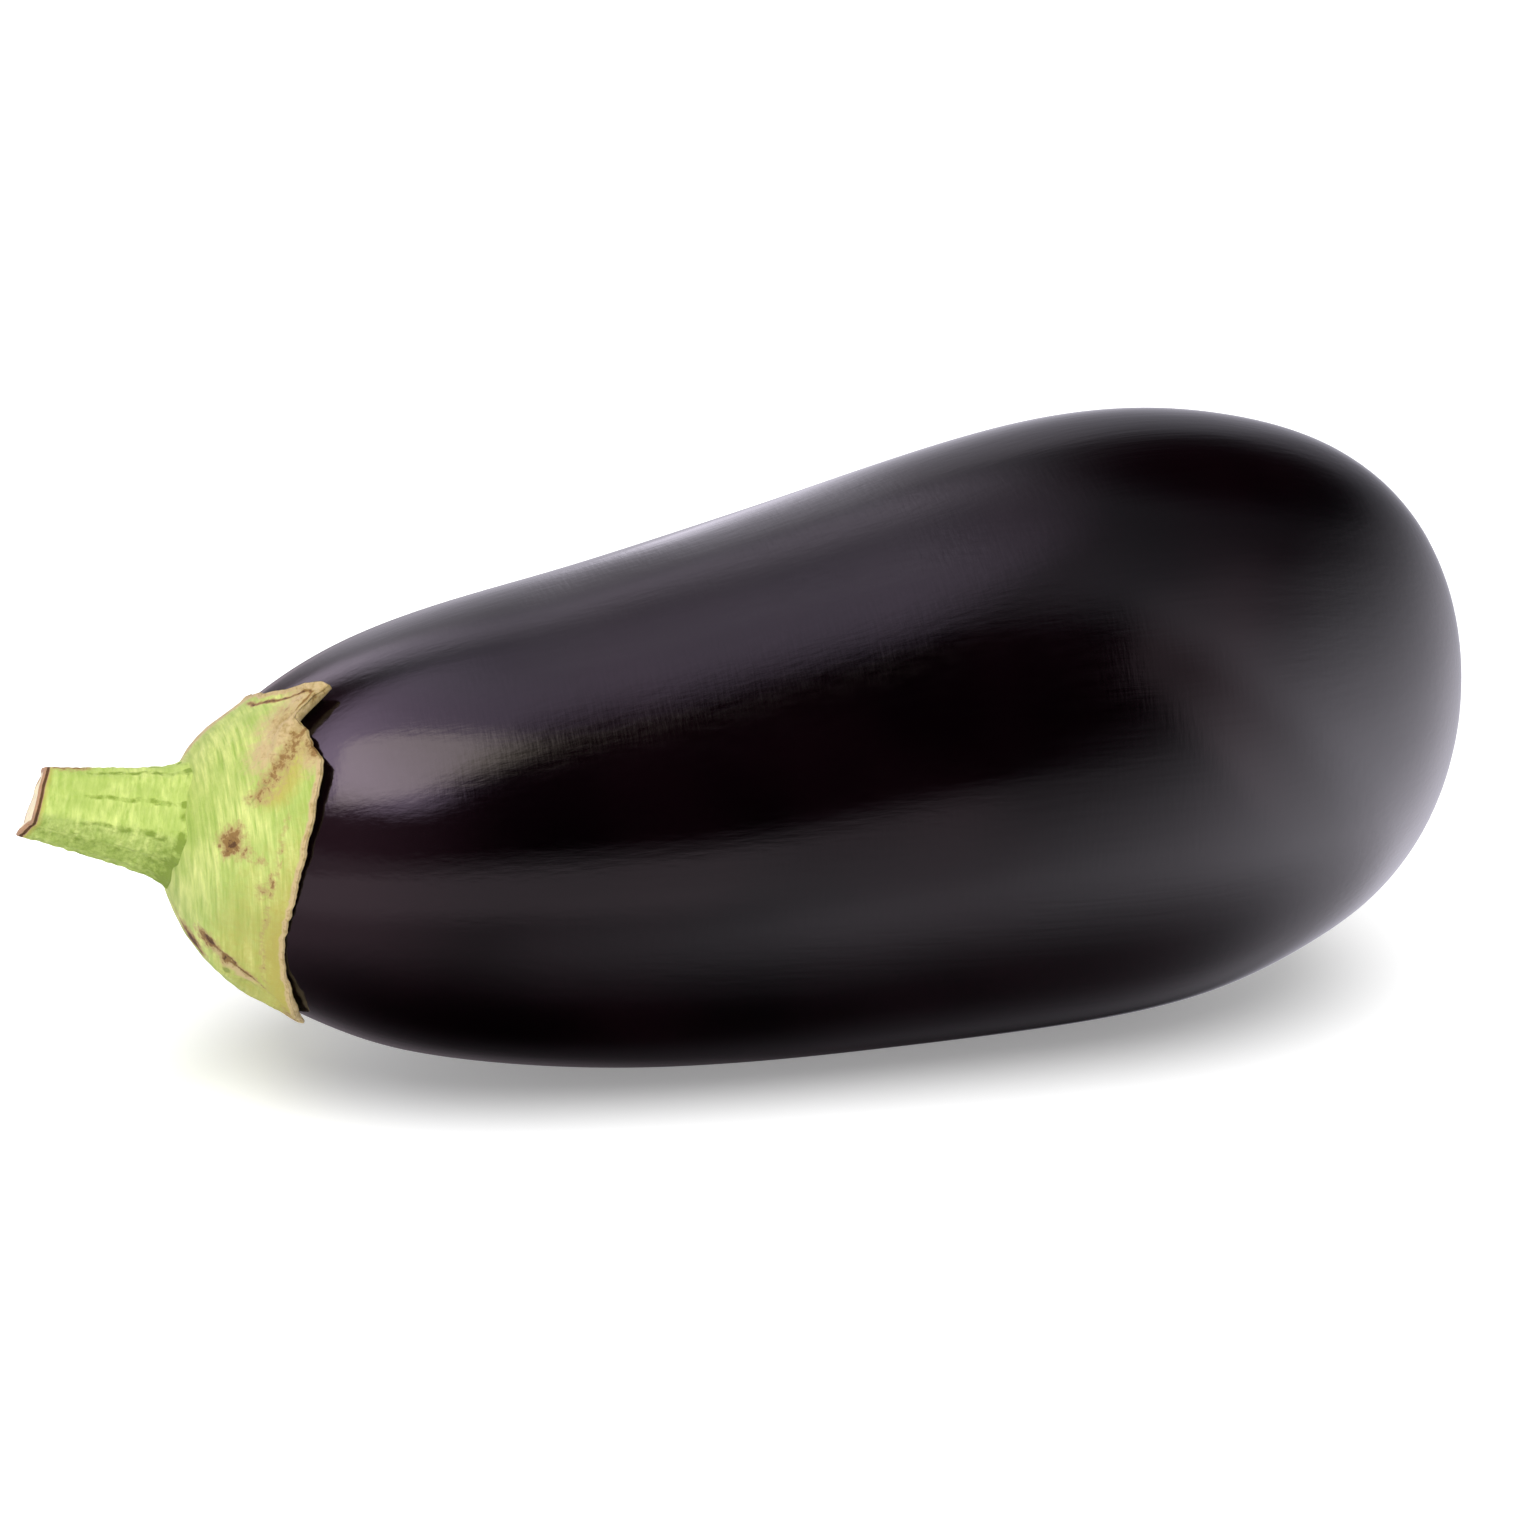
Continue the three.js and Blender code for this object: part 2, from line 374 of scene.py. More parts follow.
@dataclass(frozen=True)
class Skin:
    """The fruit's skin: a smooth waxy cuticle over purple so deep that it is almost black."""

    deep: str = "#020001"
    warm: str = "#0b0306"
    cork: str = "#9c7a58"
    cork_dark: str = "#4d3325"
    streak_width: float = 0.9 * MM
    streak_length: float = 28 * MM
    ring_width: float = 0.6 * MM
    ring_length: float = 3.5 * MM
    ring_share: float = 0.28
    patch: float = 40 * MM
    cork_crumb: float = 0.8 * MM
    cork_roughness: float = 0.8
    roughness: tuple[float, float] = (0.08, 0.14)
    ior: float = 1.46
    relief: float = 0.05 * MM

    def material(self) -> bpy.types.Material:
        """Make the material.

        Returns:
            The material.
        """
        # Waxy skin shows the eye hardly any colour of its own, only mirror images of the lights. Fine
        # streaks along the fruit and short ones across it soften their edges. The scar is dull cork.
        material, tree = new_material("eggplant_skin_waxy")
        place = add_node(tree, "TexCoord").outputs["Object"]
        scale = (1 / self.streak_length, 1 / self.streak_width, 1 / self.streak_width)
        lengthwise = add_node(tree, "Mapping", inputs={"Vector": place, "Scale": scale})
        streaks = add_node(tree, "TexNoise", inputs={
            "Vector": lengthwise.outputs["Vector"], "Scale": 1.0, "Detail": 3.0, "Roughness": 0.55})
        scale = (1 / self.ring_width, 1 / self.ring_length, 1 / self.ring_length)
        crosswise = add_node(tree, "Mapping", inputs={"Vector": place, "Scale": scale})
        rings = add_node(tree, "TexNoise", inputs={
            "Vector": crosswise.outputs["Vector"], "Scale": 1.0, "Detail": 2.0, "Roughness": 0.5})
        brushed = add_node(tree, "Math", {"operation": "MULTIPLY_ADD"}, {
            0: rings.outputs["Fac"], 1: self.ring_share, 2: streaks.outputs["Fac"]})
        clouds = add_node(tree, "TexNoise", inputs={
            "Vector": place, "Scale": 1 / self.patch, "Detail": 2.0})
        tint = add_node(tree, "MapRange", inputs={
            "Value": clouds.outputs["Fac"], "From Min": 0.35, "From Max": 0.7})
        skin = add_node(tree, "Mix", {"data_type": "RGBA"}, {
            0: tint.outputs["Result"], 6: linear(self.deep), 7: linear(self.warm)})
        scar = add_node(tree, "Attribute", {"attribute_name": Mark.SCAR.value})
        crumbs = add_node(tree, "TexNoise", inputs={
            "Vector": place, "Scale": 1 / self.cork_crumb, "Detail": 3.0})
        cork = add_node(tree, "Mix", {"data_type": "RGBA"}, {
            0: crumbs.outputs["Fac"], 6: linear(self.cork_dark), 7: linear(self.cork)})
        edge = add_node(tree, "Mix", {"data_type": "RGBA", "blend_type": "LINEAR_LIGHT"}, {
            0: 0.25, 6: scar.outputs["Fac"], 7: crumbs.outputs["Color"]})
        scarred = add_node(tree, "MapRange", inputs={
            "Value": edge.outputs[2], "From Min": 0.4, "From Max": 0.6})
        colour = add_node(tree, "Mix", {"data_type": "RGBA"}, {
            0: scarred.outputs["Result"], 6: skin.outputs[2], 7: cork.outputs[2]})
        gloss = add_node(tree, "MapRange", inputs={
            "Value": streaks.outputs["Fac"], "From Min": 0.3, "From Max": 0.7,
            "To Min": self.roughness[0], "To Max": self.roughness[1]})
        dull = add_node(tree, "Mix", {"data_type": "FLOAT"}, {
            0: scarred.outputs["Result"], 2: gloss.outputs["Result"], 3: self.cork_roughness})
        relief = add_node(tree, "Mix", {"data_type": "FLOAT"}, {
            0: scarred.outputs["Result"], 2: brushed.outputs[0], 3: crumbs.outputs["Fac"]})
        bump = add_node(tree, "Bump", inputs={
            "Height": relief.outputs[0], "Strength": 0.5, "Distance": self.relief})
        shader = add_node(tree, "BsdfPrincipled", inputs={
            "Base Color": colour.outputs[2], "Roughness": dull.outputs[0], "IOR": self.ior,
            "Normal": bump.outputs["Normal"]})
        add_node(tree, "OutputMaterial", inputs={"Surface": shader.outputs["BSDF"]})
        return material


@dataclass(frozen=True)
class Layer:
    """A colour over the green: it grows from low to high of a mark, which crumbs make ragged."""

    mark: Mark
    colour: str
    low: float
    high: float
    ragged: float


@dataclass(frozen=True)
class GreenSkin:
    """The leathery green of the cap and the stalk: pale, streaked, with dry brown scars and edges."""

    name: str
    pale: str
    green: str
    # The dark green is partly painted shade, and the yellow is partly painted shade on the cap's lower
    # half.
    dark: str
    yellow: str = "#aea450"
    beige: str = "#c0aa7e"
    tan: str = "#a8925f"
    brown: str = "#86683a"
    umber: str = "#553a1e"
    cream: str = "#e6dabd"
    rust: str = "#a88468"
    crumb: float = 1.0 * MM
    streak_width: float = 0.55 * MM
    streak_length: float = 7 * MM
    cloud: float = 7 * MM
    cloud_share: float = 0.55
    grain: float = 0.6 * MM
    roughness: tuple[float, float] = (0.42, 0.68)
    ior: float = 1.4
    relief: float = 0.3 * MM
    glow_weight: float = 0.15
    glow_depths: tuple[float, float, float] = (0.6 * MM, 0.8 * MM, 0.2 * MM)
    tilt: float = 0.0

    def layers(self) -> tuple[Layer, ...]:
        """The colours over the green, from the lowest."""
        return (
            # The dark green is the dotted lines between the stalk's ribs, and painted shade under the
            # stalk, at its foot and at the feet of the cap's folds.
            Layer(Mark.GROOVE_AND_SHADE, self.dark, 0.35, 0.7, 0.9),
            # The yellow is real yellowing, made stronger on the cap's lower half as painted shade.
            Layer(Mark.RIM, self.yellow, 0.3, 1.2, 0.9),
            Layer(Mark.DRY, self.beige, 0.15, 0.75, 1.2),
            Layer(Mark.DRY, self.tan, 0.85, 1.15, 2.0),
            Layer(Mark.SCAR, self.tan, 0.12, 0.5, 1.2),
            Layer(Mark.SCAR, self.brown, 0.45, 0.62, 1.6),
            Layer(Mark.SCAR, self.umber, 0.8, 0.95, 1.6),
            Layer(Mark.PITH, self.cream, 0.3, 0.7, 0.5),
            Layer(Mark.CUT, self.rust, 0.3, 0.5, 0.5),
            Layer(Mark.CUT, self.umber, 0.75, 0.9, 0.4),
        )

    def material(self) -> bpy.types.Material:
        """Make the material.

        Returns:
            The material.
        """
        # Leathery plant skin is dull and a little see-through at its surface. The eye gets short
        # streaks round it in two greens, cloudy patches, and dry beige and brown where it is worn.
        material, tree = new_material(self.name)
        place = add_node(tree, "TexCoord").outputs["Object"]
        scale = (1 / self.streak_width, 1 / self.streak_length, 1 / self.streak_length)
        turned_place = add_node(tree, "Mapping", inputs={
            "Vector": place, "Rotation": (0, -self.tilt, 0)})
        drawn = add_node(tree, "Mapping", inputs={
            "Vector": turned_place.outputs["Vector"], "Scale": scale})
        streaks = add_node(tree, "TexNoise", inputs={
            "Vector": drawn.outputs["Vector"], "Scale": 1.0, "Detail": 4.0, "Roughness": 0.6})
        clouds = add_node(tree, "TexNoise", inputs={
            "Vector": place, "Scale": 1 / self.cloud, "Detail": 3.0, "Distortion": 0.4})
        grain = add_node(tree, "TexNoise", inputs={
            "Vector": place, "Scale": 1 / self.grain, "Detail": 3.0})
        flow = add_node(tree, "MapRange", inputs={
            "Value": streaks.outputs["Fac"], "From Min": 0.3, "From Max": 0.7})
        patch = add_node(tree, "MapRange", inputs={
            "Value": clouds.outputs["Fac"], "From Min": 0.38, "From Max": 0.62})
        base = add_node(tree, "Mix", {"data_type": "RGBA"}, {
            0: flow.outputs["Result"], 6: linear(self.green), 7: linear(self.pale)})
        shade = add_node(tree, "Math", {"operation": "MULTIPLY"}, {
            0: patch.outputs["Result"], 1: self.cloud_share})
        base = add_node(tree, "Mix", {"data_type": "RGBA"}, {
            0: shade.outputs[0], 6: base.outputs[2], 7: linear(self.green)})
        colour = base.outputs[2]
        crumbs = add_node(tree, "TexNoise", inputs={
            "Vector": place, "Scale": 1 / self.crumb, "Detail": 4.0, "Roughness": 0.65, "Distortion": 0.3})
        for layer in self.layers():
            share = add_node(tree, "Attribute", {"attribute_name": layer.mark.value})
            broken = add_node(tree, "Math", {"operation": "MULTIPLY_ADD"}, {
                0: crumbs.outputs["Fac"], 1: layer.ragged, 2: -layer.ragged / 2})
            summed = add_node(tree, "Math", {"operation": "ADD"}, {
                0: share.outputs["Fac"], 1: broken.outputs[0]})
            amount = add_node(tree, "MapRange", inputs={
                "Value": summed.outputs[0], "From Min": layer.low, "From Max": layer.high})
            # The gate keeps the crumbs off bare places: where the mark is nothing, nothing shows.
            gate = add_node(tree, "MapRange", inputs={
                "Value": share.outputs["Fac"], "From Min": 0.02, "From Max": 0.15})
            amount = add_node(tree, "Math", {"operation": "MULTIPLY"}, {
                0: amount.outputs["Result"], 1: gate.outputs["Result"]})
            laid = add_node(tree, "Mix", {"data_type": "RGBA"}, {
                0: amount.outputs[0], 6: colour, 7: linear(layer.colour)})
            colour = laid.outputs[2]
        relief = add_node(tree, "Math", {"operation": "MULTIPLY_ADD"}, {
            0: crumbs.outputs["Fac"], 1: 0.7, 2: streaks.outputs["Fac"]})
        bump = add_node(tree, "Bump", inputs={
            "Height": relief.outputs[0], "Strength": 0.7, "Distance": self.relief})
        rough = add_node(tree, "MapRange", inputs={
            "Value": grain.outputs["Fac"], "To Min": self.roughness[0], "To Max": self.roughness[1]})
        shader = add_node(tree, "BsdfPrincipled", inputs={
            "Base Color": colour, "Roughness": rough.outputs["Result"], "IOR": self.ior,
            "Subsurface Weight": self.glow_weight, "Subsurface Radius": self.glow_depths,
            "Subsurface Scale": 1.0, "Normal": bump.outputs["Normal"]})
        add_node(tree, "OutputMaterial", inputs={"Surface": shader.outputs["BSDF"]})
        return material


@dataclass(frozen=True)
class Fruit:
    """The fruit: turned from its outline, with its scar and the flat spot that it lies on."""

    form: BodyForm
    rings: int = 210
    end_rings: int = 26
    end_start: float = 0.96
    sides: int = 208
    smooth_end: float = 12 * MM
    scar_radius: float = 5 * MM
    scar_depth: float = 1.4 * MM
    cork_radius: float = 3.4 * MM
    swell: float = 0.3 * MM
    swell_size: float = 38 * MM
    rib: float = 0.05 * MM
    rib_size: float = 7 * MM

    def build(self) -> bpy.types.Object:
        """Make the fruit.

        Returns:
            Its object.
        """
        parameters = [self.end_start * i / self.rings for i in range(self.rings)]
        parameters += [lerp(self.end_start, 1, i / self.end_rings) for i in range(self.end_rings + 1)]
        line = [self.form.skin(parameter)[::-1] for parameter in parameters]

        def uneven(radius: float, station: float, angle: float) -> Vector:
            """Place a point of the skin with the scar's dimple and soft unevenness.

            Args:
                radius: Distance from the axis line.
                station: Distance along the fruit from its stalk end.
                angle: Turn round the axis line in radians.

            Returns:
                The point in the model's frame.
            """
            around = Vector((station, radius * math.cos(angle), radius * math.sin(angle)))
            grown = smoothstep(radius, 0, self.smooth_end)
            out = self.swell * ripple(around, self.swell_size)
            out += self.rib * ripple(around, self.rib_size, Vector((9, 1, 1)))
            if station > self.form.length / 2:
                station -= self.scar_depth * bell(radius, self.scar_radius)
            return self.form.place(station, radius + grown * out, angle)

        def scar(radius: float, station: float, angle: float) -> float:
            """How much of a point is the blossom scar."""
            uneven_edge = 1 + 0.3 * math.sin(2 * angle + 1) + 0.15 * math.sin(5 * angle)
            return bell(radius, self.cork_radius * uneven_edge) if station > self.form.length / 2 else 0.0

        shape = turned(line, self.sides, uneven, {Mark.SCAR: scar})
        for vertex in shape.verts:
            vertex.co.z = max(vertex.co.z, 0.0)
        fruit = new_piece("fruit_skin", shape, Skin().material())
        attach(fruit, "root")
        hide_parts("fruit")
        return fruit


@dataclass(frozen=True)
class Lobe:
    """A sepal's lobe: where its tip points, how far it reaches, how wide it is and how it lifts."""

    angle: float
    reach: float
    before: float
    after: float
    lift: float
    power: float = 1.2

    def share(self, degrees: float) -> float:
        """Find what is left of the lobe at some degrees.

        Args:
            degrees: Angle round the cap.

        Returns:
            Its share, from 1 at the tip to 0 past the flanks.
        """
        off = (degrees - self.angle + 180) % 360 - 180
        width = self.before if off < 0 else self.after
        return max(1 - abs(off) / width, 0.0) ** self.power


@dataclass(frozen=True)
class Band:
    """A soft band beside a fold: how far behind it, how wide in millimetres and how strong."""

    offset: float
    width: float
    weight: float


@dataclass(frozen=True)
class Fold:
    """A line of (degrees, station) along which one sepal laps over the next."""

    start: tuple[float, float]
    end: tuple[float, float]
    step: float
    edge: float
    width: float
    mm_per_degree: float
    wiggle: float = 0.5
    wiggle_length: float = 1.7
    fade: float = 0.8

    def measure(self, degrees: float, station: float) -> tuple[float, float]:
        """Measure a place against the line.

        Args:
            degrees: Angle round the cap.
            station: Distance along it, in millimetres.

        Returns:
            How far it lies behind the line in millimetres, and its share of the line's length.
        """
        run = (self.end[0] - self.start[0]) * self.mm_per_degree, self.end[1] - self.start[1]
        here = (degrees - self.start[0]) * self.mm_per_degree, station - self.start[1]
        size = math.hypot(*run)
        behind = (here[0] * run[1] - here[1] * run[0]) / size
        share = (here[0] * run[0] + here[1] * run[1]) / size ** 2
        behind += self.wiggle * noise.noise(Vector((share * size / self.wiggle_length, self.step, 0)))
        return behind, share

    def height(self, degrees: float, station: float) -> float:
        """Find the extra height of the lapping sepal.

        Args:
            degrees: Angle round the cap.
            station: Distance along it, in millimetres.

        Returns:
            The height in millimetres.
        """
        behind, share = self.measure(degrees, station)
        step = smoothstep(behind, -self.edge / 2, self.edge / 2)
        back = 1 - smoothstep(behind, self.edge, self.width)
        return self.step * step * back * (1 - smoothstep(share, 0.5, 1.1))

    def beside(self, place: tuple[float, float, float], band: Band) -> float:
        """Find the strength of a band beside the line, which fades at both ends.

        Args:
            place: Degrees and station in millimetres of a point of the cap, and its radius.
            band: The band.

        Returns:
            The strength, up to the band's own.
        """
        degrees, station, _ = place
        behind, share = self.measure(degrees, station)
        ends = smoothstep(share, -0.6, -0.2) * (1 - smoothstep(share, self.fade, self.fade + 0.3))
        return band.weight * bell(behind - band.offset, band.width) * ends


@dataclass(frozen=True)
class Spot:
    """A soft round spot of the cap: its angle, its station, its size in millimetres and its weight."""

    degrees: float
    station: float
    size: float
    weight: float


@dataclass(frozen=True, eq=False)
class Calyx:
    """The cap of sepals: an outer and an inner sheet over the fruit's shoulder, out to a lobed rim."""

    form: BodyForm
    lobes: tuple[Lobe, ...] = (
        Lobe(20, 8.5, 48, 46, 1.0),
        Lobe(109, 10.6, 27, 21, 1.2, 1.7),
        Lobe(133, 8, 60, 60, 1.6),
        Lobe(244, 4.2, 40, 34, 0.8),
        Lobe(310, 8, 40, 46, 1.0),
    )
    lap: Fold = Fold((117, 21.5), (139, 11.5), 0.8, 0.7, 7, 0.5)
    lap_torn: Band = Band(1.0, 1.6, 0.35)
    lap_yellow: Band = Band(-3.0, 2.6, 1.1)
    lap_pale: Band = Band(-1.6, 1.8, 0.3)
    lap_brown: Band = Band(-1.0, 1.8, 0.5)
    lap_crumbs: Band = Band(-0.3, 0.6, 0.56)
    # Painted shade along the foot of the lap, where one sepal laps over the next.
    lap_foot_shade: Band = Band(-0.35, 0.35, 1.0)
    seam: Fold = Fold((213, 8.4), (195, 2.5), 0.9, 0.6, 5, 0.35, fade=0.6)
    seam_pale: Band = Band(-1.2, 1.2, 0.9)
    seam_brown: Band = Band(-0.2, 0.8, 1.1)
    # Painted shade along the foot of the seam's fold.
    seam_foot_shade: Band = Band(-0.5, 0.35, 1.0)
    sinus: float = 14.5
    slant: float = 1.5
    slant_angle: float = 60
    thickness: float = 1.5
    edge: float = 0.4
    gap: float = 0.3
    lift_start: float = 0.6
    wave: float = 0.12
    wave_size: float = 3 * MM
    thread: float = 0.1
    thread_size: float = 0.9 * MM
    bead: float = 0.18
    bead_width: float = 0.03
    lip: float = 0.45
    lip_width: float = 0.04
    crust: float = 0.45
    crust_size: float = 1.3 * MM
    torn_size: float = 0.9 * MM
    swellings: tuple[Spot, ...] = (
        Spot(223, 5.2, 3.0, 1.2), Spot(228, 8.6, 1.5, -0.7), Spot(236, 12, 2.5, 0.5),
    )
    dry_tips: tuple[Spot, ...] = (
        Spot(108, 23.5, 6, 1.05), Spot(116, 19, 5.5, 1.0), Spot(122, 16, 4, 0.85),
        Spot(131, 21.5, 2.6, 0.8), Spot(244, 17, 4.5, 0.8), Spot(20, 22, 4, 1.0), Spot(310, 22, 4, 1.0),
    )
    scabs: tuple[Spot, ...] = (
        Spot(149.5, 9, 2.0, 0.95), Spot(146, 10.2, 1.3, 0.6), Spot(153, 8.2, 1.3, 0.6),
        Spot(160, 12.3, 1.0, 0.5), Spot(156, 10.4, 1.5, 0.5), Spot(151, 8.5, 3.5, 0.16),
        Spot(168, 13.0, 1.2, 0.5), Spot(171, 11.6, 1.3, 0.45), Spot(225, 2.4, 1.8, 1.1),
        Spot(137, 13, 1.5, 0.5), Spot(134, 15, 1.2, 0.5), Spot(205, 4.2, 1.6, 1.0),
        Spot(211, 6.2, 1.1, 0.8), Spot(128, 22, 2.4, 0.6), Spot(240, 15.5, 3.5, 0.42),
        Spot(60, 8, 1.8, 0.8), Spot(300, 10, 1.6, 0.8), Spot(350, 6, 1.4, 0.7), Spot(112, 19, 2.6, 0.4),
    )
    pore: Spot = Spot(219, 6.4, 0.6, 1.2)
    rings: int = 84
    sides: int = 300

    @lru_cache(maxsize=None)
    def rim(self, degrees: float) -> float:
        """Find where the rim is, with its lobes and its fine crinkles.

        Args:
            degrees: Angle round the cap.

        Returns:
            Its station in millimetres.
        """
        line = self.sinus + self.slant * math.cos(math.radians(degrees - self.slant_angle))
        turn = math.radians(degrees)
        around = Vector((math.cos(turn), math.sin(turn), 0))
        crinkle = 0.35 * noise.noise(around * 7) + 0.22 * noise.noise(around * 24)
        return line + crinkle + max(lobe.reach * lobe.share(degrees) for lobe in self.lobes)

    @lru_cache(maxsize=None)
    def rim_parameter(self, degrees: float) -> float:
        """The outline's parameter where the rim is at some degrees round the cap."""
        return self.form.parameter(self.rim(degrees) * MM)

    def lift(self, degrees: float) -> float:
        """How far the rim stands off the skin at some degrees round the cap, in millimetres."""
        return max(lobe.lift * lobe.share(degrees) for lobe in self.lobes)

    def place(self, share: float, sheet: float, angle: float) -> Vector:
        """Place a point of the cap.

        Args:
            share: Share of the way from the middle to the rim.
            sheet: 0 on the outer sheet and 1 on the inner one.
            angle: Turn round the cap in radians.

        Returns:
            The point in the model's frame.
        """
        degrees = round(math.degrees(angle) % 360, 3)
        parameter = share * self.rim_parameter(degrees)
        station, radius = self.form.skin(parameter)
        run, rise = self.form.along(parameter)
        raised = smoothstep(share, self.lift_start, 1)
        bottom = self.gap + self.lift(degrees) * raised ** 2
        top = lerp(self.thickness, self.edge, raised)
        spot = Vector((station, radius * math.cos(angle), radius * math.sin(angle)))
        top += self.lap.height(degrees, station / MM) + self.seam.height(degrees, station / MM)
        top += self.wave * ripple(spot, self.wave_size)
        top += self.thread * ripple(spot, self.thread_size, Vector((1, 5, 5)))
        top += self.bead * bell(1 - share, self.bead_width)
        top += self.lip * self.curl(degrees) * bell(1 - share, self.lip_width)
        where = self.at(share, angle)
        top += sum(self.near(where, swelling) for swelling in self.swellings)
        top += self.crust * self.dried(where) * ripple(spot, self.crust_size)
        top += self.lap.beside(where, self.lap_torn) * ripple(spot, self.torn_size)
        lift = (bottom + top * (1 - sheet)) * MM
        return self.form.place(station - rise * lift, radius + run * lift, angle)

    def at(self, share: float, angle: float) -> tuple[float, float, float]:
        """Find where a point of the cap is.

        Args:
            share: Share of the way from the middle to the rim.
            angle: Turn round the cap in radians.

        Returns:
            Its degrees, and its station and radius in millimetres.
        """
        degrees = round(math.degrees(angle) % 360, 3)
        station, radius = self.form.skin(share * self.rim_parameter(degrees))
        return degrees, station / MM, radius / MM

    def near(self, place: tuple[float, float, float], spot: Spot) -> float:
        """The strength of a spot at a place of the cap."""
        around = math.radians((place[0] - spot.degrees + 180) % 360 - 180) * place[2]
        return spot.weight * bell(math.hypot(around, 1.3 * (place[1] - spot.station)), spot.size)

    def dried(self, place: tuple[float, float, float]) -> float:
        """How dry the cap is at a place: the lobes' tips dry first."""
        return max(self.near(place, tip) for tip in self.dry_tips)

    def curl(self, degrees: float) -> float:
        """How far the upper sepal's thin lip curls up at some degrees, from 0 to 1."""
        return smoothstep(degrees, 80, 92) * (1 - smoothstep(degrees, 112, 117))

    def marks(self) -> dict[Mark, Rule]:
        """Find where the cap is yellow, dry, scarred and dark, with painted shade on its lower half and at
        the feet of its folds.

        Returns:
            The rule of each mark.
        """

        def rim(share: float, sheet: float, angle: float) -> float:
            """Find the yellow strip along the rim; it is broader and deeper towards the bottom, which is
            painted shade on the cap's lower half.

            Args:
                share: Share of the way from the middle to the rim.
                sheet: Not used; 0 on the outer sheet and 1 on the inner one.
                angle: Turn round the cap in radians.

            Returns:
                The strength, from 0 to about 1.
            """
            # Painted shade: the olive-yellow grows on the cap's lower half.
            lower_half_shade = smoothstep(-math.sin(angle), -0.85, 0.35)
            strip = 0.7 * smoothstep(share, 0.3, 0.75) + 0.4 * smoothstep(share, 0.8, 0.96)
            lap = self.lap.beside(self.at(share, angle), self.lap_yellow)
            return max(lerp(0.2, 1.15, lower_half_shade) * strip, lap)

        def dry(share: float, sheet: float, angle: float) -> float:
            """Find the pale dry rim, the dried tips, the dry crest and the pale border of the folds.

            Args:
                share: Share of the way from the middle to the rim.
                sheet: 0 on the outer sheet and 1 on the inner one.
                angle: Turn round the cap in radians.

            Returns:
                The strength, from 0 to about 1.
            """
            place = self.at(share, angle)
            edge = 0.95 * smoothstep(share, 0.955, 0.98) + (0.2 if sheet > 0.02 else 0.0)
            lap = self.lap.beside(place, self.lap_pale)
            seam = self.seam.beside(place, self.seam_pale)
            crest = smoothstep(place[0], 56, 64) * (1 - smoothstep(place[0], 74, 84))
            crest *= 0.85 * smoothstep(place[1], 4, 8)
            return min(max(self.dried(place), edge, lap, seam, crest), 0.9)

        def scar(share: float, sheet: float, angle: float) -> float:
            """Find the brown scabs and the crumbled brown border of the folds.

            Args:
                share: Share of the way from the middle to the rim.
                sheet: Not used; 0 on the outer sheet and 1 on the inner one.
                angle: Turn round the cap in radians.

            Returns:
                The strength, from 0 to about 1.
            """
            place = self.at(share, angle)
            marks = [self.near(place, scab) for scab in self.scabs]
            lap = max(self.lap.beside(place, band) for band in (self.lap_brown, self.lap_crumbs))
            inside = smoothstep(place[0], 138, 150) * (1 - smoothstep(place[0], 215, 235))
            wander = 0.02 * noise.noise(Vector((angle * 5, 0, 0)))
            crack = 0.26 * inside * bell(share - 0.86 - wander, 0.022)
            seam = self.seam.beside(place, self.seam_brown)
            lip = 0.9 * self.curl(place[0]) * bell(share - 0.925, 0.016)
            return max(*marks, lap, seam, lip, crack)

        def groove_and_shade(share: float, sheet: float, angle: float) -> float:
            """Find the painted shade at the foot of the folds, and a dark pore.

            Args:
                share: Share of the way from the middle to the rim.
                sheet: Not used; 0 on the outer sheet and 1 on the inner one.
                angle: Turn round the cap in radians.

            Returns:
                The strength, from 0 to about 1.
            """
            place = self.at(share, angle)
            # Painted shade at the feet of the lap and the seam.
            feet = self.lap.beside(place, self.lap_foot_shade) + self.seam.beside(place, self.seam_foot_shade)
            return feet + self.near(place, self.pore)

        return {Mark.RIM: rim, Mark.DRY: dry, Mark.SCAR: scar, Mark.GROOVE_AND_SHADE: groove_and_shade}

    def shape(self) -> bmesh.types.BMesh:
        """Turn the outer sheet, the rim's edge and the inner sheet into one closed mesh.

        Returns:
            The mesh.
        """
        shares = [1 - (1 - i / self.rings) ** 1.25 for i in range(self.rings + 1)]
        outer = [(share, 0.0) for share in shares[:-1]]
        edge = [(0.994, 0.0), (1.0, 0.12), (1.0, 0.5), (1.0, 0.88), (0.994, 1.0)]
        inner = [(share, 1.0) for share in reversed(shares[:-1:3])]
        return turned([*outer, *edge, *inner], self.sides, self.place, self.marks())

    def build(self) -> tuple[bpy.types.Object, BVHTree]:
        """Make the cap.

        Returns:
            Its object, and a tree that tells where its surface is.
        """
        # The third green is the dark green: painted shade at the feet of the folds.
        finish = GreenSkin("calyx_leathery_green", "#d8dd8a", "#95ad50", "#6f8a3c")
        shape = self.shape()
        surface = BVHTree.FromBMesh(shape)
        cap = new_piece("sepal_cap", shape, finish.material())
        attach(cap, "root")
        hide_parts("calyx")
        return cap, surface


